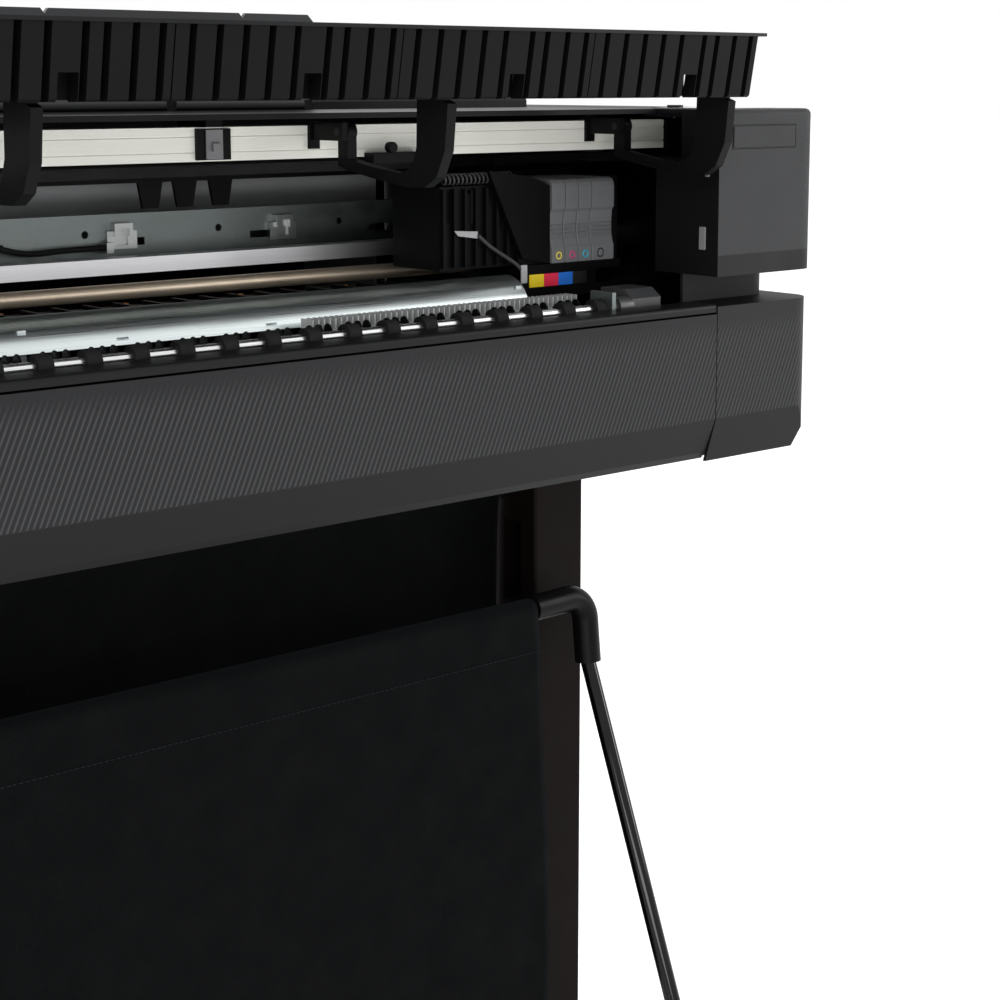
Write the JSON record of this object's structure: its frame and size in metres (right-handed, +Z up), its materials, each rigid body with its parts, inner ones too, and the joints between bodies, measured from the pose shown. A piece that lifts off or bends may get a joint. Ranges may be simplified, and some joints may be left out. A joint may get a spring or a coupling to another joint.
{
  "type": "large format plotter",
  "caption": "Floor-standing roll-fed inkjet plotter with a raised ribbed lid, visible print carriage and rollers, end housings, and a wheeled stand with a fabric bin",
  "frame": {"origin": "on the floor under the middle of the machine, halfway between the feet's ends", "axes": "+X to the right along the platen, +Y to the back, +Z up"},
  "size_m": [1.317, 0.605, 1.006],
  "materials": {
    "charcoal_texture": "charcoal with a fine diagonal relief",
    "charcoal_speckle": "dark grey with a fine speckled grain",
    "charcoal_satin": "satin charcoal",
    "black_plastic": "black moulded plastic",
    "black_gloss": "gloss black",
    "satin_black": "satin black",
    "screen_glass": "dark glass",
    "zinc_steel": "galvanised sheet",
    "bright_steel": "bright steel",
    "cream_paint": "cream coated extrusion",
    "grey_paint": "dark grey paint",
    "copper_spring": "copper coloured spring wire",
    "copper_roller": "bronze tinted fine grit",
    "grey_plastic": "light grey moulded plastic",
    "black_metal": "black coated steel",
    "black_rubber": "matt black rubber",
    "clear_strip": "clear film with fine marks",
    "key_tiles": "four coloured fields",
    "brown_black_paint": "brown black powder coat",
    "bin_fabric": "black woven polyester",
    "cartridge_grey": "dark grey moulded plastic",
    "wheel_grey": "dark grey tread"
  },
  "bodies": {
    "root": {"front_panel": "charcoal_texture", "front_trim_strip": "charcoal_satin", "right_base_cover": "charcoal_texture", "left_base_cover": "charcoal_texture", "right_end_block": "charcoal_speckle", "left_end_block": "charcoal_speckle", "roof_front": "charcoal_satin", "rear_cover": "charcoal_satin", "cover_screws": "zinc_steel", "rear_sockets": "black_plastic", "touch_screen": "screen_glass", "chassis": "zinc_steel", "steel_beam": "zinc_steel", "beam_clips": "bright_steel", "upper_rail": "cream_paint", "hinge_brackets": "black_plastic", "hinge_pins": "black_metal", "guide_bar": "bright_steel", "platen": "black_plastic", "platen_rail": "bright_steel", "pinch_springs": "copper_spring", "output_comb": "grey_plastic", "drive_motors": "black_metal", "drive_belts": "black_rubber", "encoder_strip": "clear_strip", "service_station": "black_plastic", "roll_bay": "grey_paint", "lead": "black_rubber", "stand_legs": "brown_black_paint", "stand_base": "brown_black_paint", "bin_bars": "satin_black", "bin_rods": "black_gloss", "bin_fabric": "bin_fabric"},
    "lid": {"lid_skin": "charcoal_satin", "lid_ribs": "black_plastic", "lid_arms": "black_plastic"},
    "roll_cover": {"roll_cover": "charcoal_satin"},
    "sheet_tray": {"sheet_tray": "charcoal_satin"},
    "output_roller": {"output_shaft": "bright_steel", "output_rollers": "black_rubber"},
    "feed_roller": {"feed_roller": "copper_roller"},
    "idler_pulley": {"idler_pulley": "grey_plastic"},
    "drive_pulley": {"drive_pulley": "grey_plastic"},
    "carriage": {"carriage_frame": "black_plastic", "carriage_cover": "black_plastic", "colour_key": "key_tiles"},
    "spindle": {"spindle": "black_plastic"},
    "power_button": {"power_button": "black_gloss"},
    "cartridge_yellow": {"cartridge_yellow": "cartridge_grey"},
    "cartridge_magenta": {"cartridge_magenta": "cartridge_grey"},
    "cartridge_cyan": {"cartridge_cyan": "cartridge_grey"},
    "cartridge_black": {"cartridge_black": "cartridge_grey"},
    "fork_front_left": {"caster_fork_front_left": "black_plastic"},
    "wheel_front_left": {"caster_wheel_front_left": "wheel_grey"},
    "fork_front_right": {"caster_fork_front_right": "black_plastic"},
    "wheel_front_right": {"caster_wheel_front_right": "wheel_grey"},
    "fork_rear_left": {"caster_fork_rear_left": "black_plastic"},
    "wheel_rear_left": {"caster_wheel_rear_left": "wheel_grey"},
    "fork_rear_right": {"caster_fork_rear_right": "black_plastic"},
    "wheel_rear_right": {"caster_wheel_rear_right": "wheel_grey"}
  },
  "joints": [
    {"name": "lid_hinge", "type": "hinge", "parent": "root", "child": "lid", "pos_m": [0.011, -0.1335, 0.918], "axis": [1, 0, 0], "range_deg": [0, 80]},
    {"name": "roll_cover_hinge", "type": "hinge", "parent": "root", "child": "roll_cover", "pos_m": [0.012, 0.211, 0.925], "axis": [-1, 0, 0], "range_deg": [0, 95]},
    {"name": "sheet_tray_hinge", "type": "hinge", "parent": "root", "child": "sheet_tray", "pos_m": [-0.105, 0.002, 0.937], "axis": [1, 0, 0], "range_deg": [0, 88]},
    {"name": "output_roller_spin", "type": "hinge", "parent": "root", "child": "output_roller", "pos_m": [-0.03, -0.18, 0.777], "axis": [1, 0, 0], "continuous": true},
    {"name": "feed_roller_spin", "type": "hinge", "parent": "root", "child": "feed_roller", "pos_m": [-0.03, -0.012, 0.8], "axis": [1, 0, 0], "continuous": true},
    {"name": "carriage_slide", "type": "slide", "parent": "root", "child": "carriage", "axis": [1, 0, 0], "range_m": [-0.858, 0.09]},
    {"name": "drive_pulley_spin", "type": "hinge", "parent": "root", "child": "drive_pulley", "pos_m": [0.615, 0.013, 0.888], "axis": [0, 0, 1], "range_deg": [-4250, 460]},
    {"name": "idler_pulley_spin", "type": "hinge", "parent": "root", "child": "idler_pulley", "pos_m": [-0.505, 0.013, 0.888], "axis": [0, 0, 1], "range_deg": [-4250, 460]},
    {"name": "spindle_spin", "type": "hinge", "parent": "root", "child": "spindle", "pos_m": [-0.034, 0.157, 0.872], "axis": [1, 0, 0], "continuous": true},
    {"name": "power_button_press", "type": "slide", "parent": "root", "child": "power_button", "axis": [0, 0, -1], "range_m": [0, 0.0015], "stiffness_N_per_m": 400, "springref_m": -0.001},
    {"name": "cartridge_yellow_slide", "type": "slide", "parent": "carriage", "child": "cartridge_yellow", "axis": [0, -1, 0], "range_m": [0, 0.065]},
    {"name": "cartridge_magenta_slide", "type": "slide", "parent": "carriage", "child": "cartridge_magenta", "axis": [0, -1, 0], "range_m": [0, 0.065]},
    {"name": "cartridge_cyan_slide", "type": "slide", "parent": "carriage", "child": "cartridge_cyan", "axis": [0, -1, 0], "range_m": [0, 0.065]},
    {"name": "cartridge_black_slide", "type": "slide", "parent": "carriage", "child": "cartridge_black", "axis": [0, -1, 0], "range_m": [0, 0.065]},
    {"name": "swivel_front_left", "type": "hinge", "parent": "root", "child": "fork_front_left", "pos_m": [-0.5755, -0.27, 0.05], "axis": [0, 0, 1], "continuous": true},
    {"name": "roll_front_left", "type": "hinge", "parent": "fork_front_left", "child": "wheel_front_left", "pos_m": [-0.5755, -0.258, 0.02], "axis": [1, 0, 0], "continuous": true},
    {"name": "swivel_front_right", "type": "hinge", "parent": "root", "child": "fork_front_right", "pos_m": [0.4845, -0.27, 0.05], "axis": [0, 0, 1], "continuous": true},
    {"name": "roll_front_right", "type": "hinge", "parent": "fork_front_right", "child": "wheel_front_right", "pos_m": [0.4845, -0.258, 0.02], "axis": [1, 0, 0], "continuous": true},
    {"name": "swivel_rear_left", "type": "hinge", "parent": "root", "child": "fork_rear_left", "pos_m": [-0.5755, 0.27, 0.05], "axis": [0, 0, 1], "continuous": true},
    {"name": "roll_rear_left", "type": "hinge", "parent": "fork_rear_left", "child": "wheel_rear_left", "pos_m": [-0.5755, 0.258, 0.02], "axis": [1, 0, 0], "continuous": true},
    {"name": "swivel_rear_right", "type": "hinge", "parent": "root", "child": "fork_rear_right", "pos_m": [0.4845, 0.27, 0.05], "axis": [0, 0, 1], "continuous": true},
    {"name": "roll_rear_right", "type": "hinge", "parent": "fork_rear_right", "child": "wheel_rear_right", "pos_m": [0.4845, 0.258, 0.02], "axis": [1, 0, 0], "continuous": true}
  ],
  "couplings": [
    {"joint": "feed_roller_spin", "follows": "output_roller_spin", "ratio": 1},
    {"joint": "drive_pulley_spin", "follows": "carriage_slide", "rad_per_m": 85.47},
    {"joint": "idler_pulley_spin", "follows": "carriage_slide", "rad_per_m": 85.47}
  ]
}
